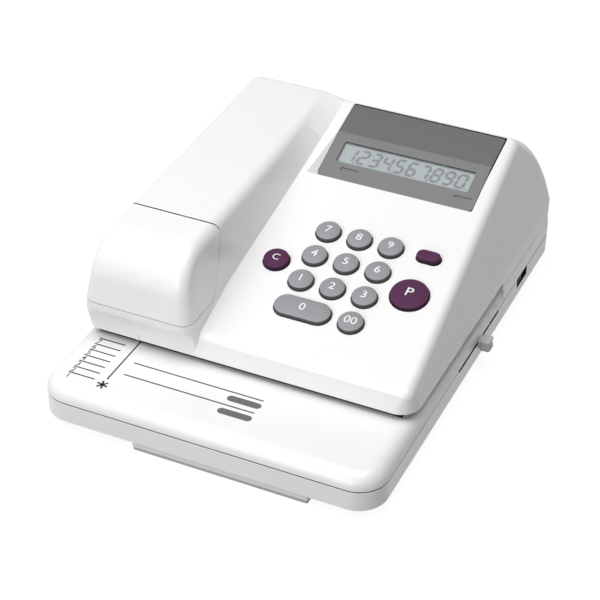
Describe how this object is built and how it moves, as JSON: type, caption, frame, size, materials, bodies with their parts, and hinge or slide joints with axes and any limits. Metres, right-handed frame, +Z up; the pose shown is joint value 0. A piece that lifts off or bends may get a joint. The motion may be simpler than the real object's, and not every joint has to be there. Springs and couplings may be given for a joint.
{
  "type": "check writer",
  "caption": "Desktop electronic check writer: flat check bed, overhanging printing head with a raised nose, sloping keypad, folded display and a sliding stop lever.",
  "frame": {"origin": "on the table, below the middle of the machine's bounding box, which takes in the lever knob on the right", "axes": "+X to the user's right, +Y to the back of the machine, +Z up"},
  "size_m": [0.2078, 0.28, 0.1023],
  "materials": {
    "shell": "pearl white, fine gloss",
    "liner": "pale moulded plastic",
    "rubber_dark": "matte rubber",
    "bezel": "fine matte",
    "window": "clear",
    "lcd": "liquid crystal glass",
    "key_grey": "satin",
    "key_plum": "satin",
    "knob_grey": "satin",
    "black_plastic": "matte",
    "board": "solder mask",
    "mat": "silicone",
    "steel": "zinc plated",
    "gear_white": "acetal",
    "type_steel": "hardened",
    "ink": "inked felt",
    "coil": "enamelled wire",
    "cell": "plain sleeve"
  },
  "bodies": {
    "case": {"base_lower_shell": "shell", "base_upper_shell": "shell", "front_foot_strip": "rubber_dark", "rear_foot_pads": "rubber_dark", "battery_cells": "cell", "battery_contacts": "steel", "head_shell": "shell", "head_bottom_plate": "liner", "cover_hinge_pin": "steel", "display_bezel": "bezel", "display_window": "window", "lcd_panel": "lcd", "key_board": "board", "key_mat": "mat", "main_board": "board", "frame_left_plate": "steel", "frame_right_plate": "steel", "frame_spacers": "steel", "idler_pin": "steel", "select_motor": "steel", "ink_roller_axle": "steel", "hammer_coil": "coil", "hammer_yoke": "steel", "feed_bearings": "liner", "feed_motor": "steel", "pinch_bracket": "steel", "switch_body": "black_plastic", "adapter_jack": "black_plastic", "case_screws": "steel"},
    "ink_cover_body": {"ink_cover": "shell"},
    "type_wheel_body": {"type_wheel": "type_steel", "type_shaft": "steel", "type_gear": "gear_white"},
    "idler_gear_body": {"idler_gear": "gear_white"},
    "motor_pinion_body": {"motor_pinion": "gear_white"},
    "ink_roller_body": {"ink_roller": "ink"},
    "hammer_body": {"hammer_plunger": "steel"},
    "feed_roller_body": {"feed_roller": "rubber_dark", "feed_shaft": "steel", "feed_gear": "gear_white"},
    "feed_pinion_body": {"feed_pinion": "gear_white"},
    "pinch_roller_body": {"pinch_roller": "rubber_dark"},
    "check_stop_body": {"stop_slide": "steel", "lever_knob": "knob_grey"},
    "power_switch_body": {"switch_knob": "black_plastic"},
    "battery_cover_body": {"battery_cover": "shell"},
    "key_0_body": {"key_0": "key_grey"},
    "key_00_body": {"key_00": "key_grey"},
    "key_1_body": {"key_1": "key_grey"},
    "key_2_body": {"key_2": "key_grey"},
    "key_3_body": {"key_3": "key_grey"},
    "key_4_body": {"key_4": "key_grey"},
    "key_5_body": {"key_5": "key_grey"},
    "key_6_body": {"key_6": "key_grey"},
    "key_7_body": {"key_7": "key_grey"},
    "key_8_body": {"key_8": "key_grey"},
    "key_9_body": {"key_9": "key_grey"},
    "clear_key_body": {"clear_key": "key_plum"},
    "print_key_body": {"print_key": "key_plum"},
    "mode_key_body": {"mode_key": "key_plum"}
  },
  "joints": [
    {"name": "ink_cover_hinge", "type": "hinge", "parent": "case", "child": "ink_cover_body", "pos_m": [-0.0639, -0.054, 0.09058], "axis": [-1, 0, 0], "range_deg": [0, 75]},
    {"name": "key_0_press", "type": "slide", "parent": "case", "child": "key_0_body", "axis": [0, 0.263, -0.9648], "range_m": [0, 0.0025], "stiffness_N_per_m": 250, "springref_m": -0.001},
    {"name": "key_00_press", "type": "slide", "parent": "case", "child": "key_00_body", "axis": [0, 0.263, -0.9648], "range_m": [0, 0.0025], "stiffness_N_per_m": 250, "springref_m": -0.001},
    {"name": "key_1_press", "type": "slide", "parent": "case", "child": "key_1_body", "axis": [0, 0.263, -0.9648], "range_m": [0, 0.0025], "stiffness_N_per_m": 250, "springref_m": -0.001},
    {"name": "key_2_press", "type": "slide", "parent": "case", "child": "key_2_body", "axis": [0, 0.263, -0.9648], "range_m": [0, 0.0025], "stiffness_N_per_m": 250, "springref_m": -0.001},
    {"name": "key_3_press", "type": "slide", "parent": "case", "child": "key_3_body", "axis": [0, 0.263, -0.9648], "range_m": [0, 0.0025], "stiffness_N_per_m": 250, "springref_m": -0.001},
    {"name": "key_4_press", "type": "slide", "parent": "case", "child": "key_4_body", "axis": [0, 0.263, -0.9648], "range_m": [0, 0.0025], "stiffness_N_per_m": 250, "springref_m": -0.001},
    {"name": "key_5_press", "type": "slide", "parent": "case", "child": "key_5_body", "axis": [0, 0.263, -0.9648], "range_m": [0, 0.0025], "stiffness_N_per_m": 250, "springref_m": -0.001},
    {"name": "key_6_press", "type": "slide", "parent": "case", "child": "key_6_body", "axis": [0, 0.263, -0.9648], "range_m": [0, 0.0025], "stiffness_N_per_m": 250, "springref_m": -0.001},
    {"name": "key_7_press", "type": "slide", "parent": "case", "child": "key_7_body", "axis": [0, 0.263, -0.9648], "range_m": [0, 0.0025], "stiffness_N_per_m": 250, "springref_m": -0.001},
    {"name": "key_8_press", "type": "slide", "parent": "case", "child": "key_8_body", "axis": [0, 0.263, -0.9648], "range_m": [0, 0.0025], "stiffness_N_per_m": 250, "springref_m": -0.001},
    {"name": "key_9_press", "type": "slide", "parent": "case", "child": "key_9_body", "axis": [0, 0.263, -0.9648], "range_m": [0, 0.0025], "stiffness_N_per_m": 250, "springref_m": -0.001},
    {"name": "clear_key_press", "type": "slide", "parent": "case", "child": "clear_key_body", "axis": [0, 0.263, -0.9648], "range_m": [0, 0.0025], "stiffness_N_per_m": 250, "springref_m": -0.001},
    {"name": "print_key_press", "type": "slide", "parent": "case", "child": "print_key_body", "axis": [0, 0.263, -0.9648], "range_m": [0, 0.0025], "stiffness_N_per_m": 250, "springref_m": -0.001},
    {"name": "mode_key_press", "type": "slide", "parent": "case", "child": "mode_key_body", "axis": [0, 0.263, -0.9648], "range_m": [0, 0.0025], "stiffness_N_per_m": 250, "springref_m": -0.001},
    {"name": "type_wheel_spin", "type": "hinge", "parent": "case", "child": "type_wheel_body", "pos_m": [-0.0689, -0.037, 0.0537], "axis": [1, 0, 0], "continuous": true},
    {"name": "idler_gear_spin", "type": "hinge", "parent": "case", "child": "idler_gear_body", "pos_m": [-0.0529, -0.0082, 0.0537], "axis": [1, 0, 0], "continuous": true},
    {"name": "motor_pinion_spin", "type": "hinge", "parent": "case", "child": "motor_pinion_body", "pos_m": [-0.0529, 0.0094, 0.0537], "axis": [1, 0, 0], "continuous": true},
    {"name": "ink_roller_spin", "type": "hinge", "parent": "case", "child": "ink_roller_body", "pos_m": [-0.0689, -0.05519, 0.07538], "axis": [1, 0, 0], "continuous": true},
    {"name": "hammer_lift", "type": "slide", "parent": "case", "child": "hammer_body", "axis": [0, 0, 1], "range_m": [0, 0.0048]},
    {"name": "feed_roller_spin", "type": "hinge", "parent": "case", "child": "feed_roller_body", "pos_m": [-0.0349, -0.037, 0.02], "axis": [0, 1, 0], "continuous": true},
    {"name": "feed_pinion_spin", "type": "hinge", "parent": "case", "child": "feed_pinion_body", "pos_m": [-0.02674, -0.008, 0.0162], "axis": [0, 1, 0], "continuous": true},
    {"name": "pinch_roller_spin", "type": "hinge", "parent": "case", "child": "pinch_roller_body", "pos_m": [-0.0349, -0.037, 0.0338], "axis": [0, 1, 0], "continuous": true},
    {"name": "check_stop_slide", "type": "slide", "parent": "case", "child": "check_stop_body", "axis": [0, 1, 0], "range_m": [-0.0284, 0.029]},
    {"name": "power_switch_slide", "type": "slide", "parent": "case", "child": "power_switch_body", "axis": [0, 1, 0], "range_m": [0, 0.005]},
    {"name": "battery_cover_slide", "type": "slide", "parent": "case", "child": "battery_cover_body", "axis": [0, 1, 0], "range_m": [0, 0.03]}
  ],
  "couplings": [
    {"joint": "idler_gear_spin", "follows": "type_wheel_spin", "ratio": -1.4},
    {"joint": "motor_pinion_spin", "follows": "type_wheel_spin", "ratio": 3},
    {"joint": "ink_roller_spin", "follows": "type_wheel_spin", "ratio": -2.5},
    {"joint": "feed_pinion_spin", "follows": "feed_roller_spin", "ratio": -1.5},
    {"joint": "pinch_roller_spin", "follows": "feed_roller_spin", "ratio": -2}
  ]
}
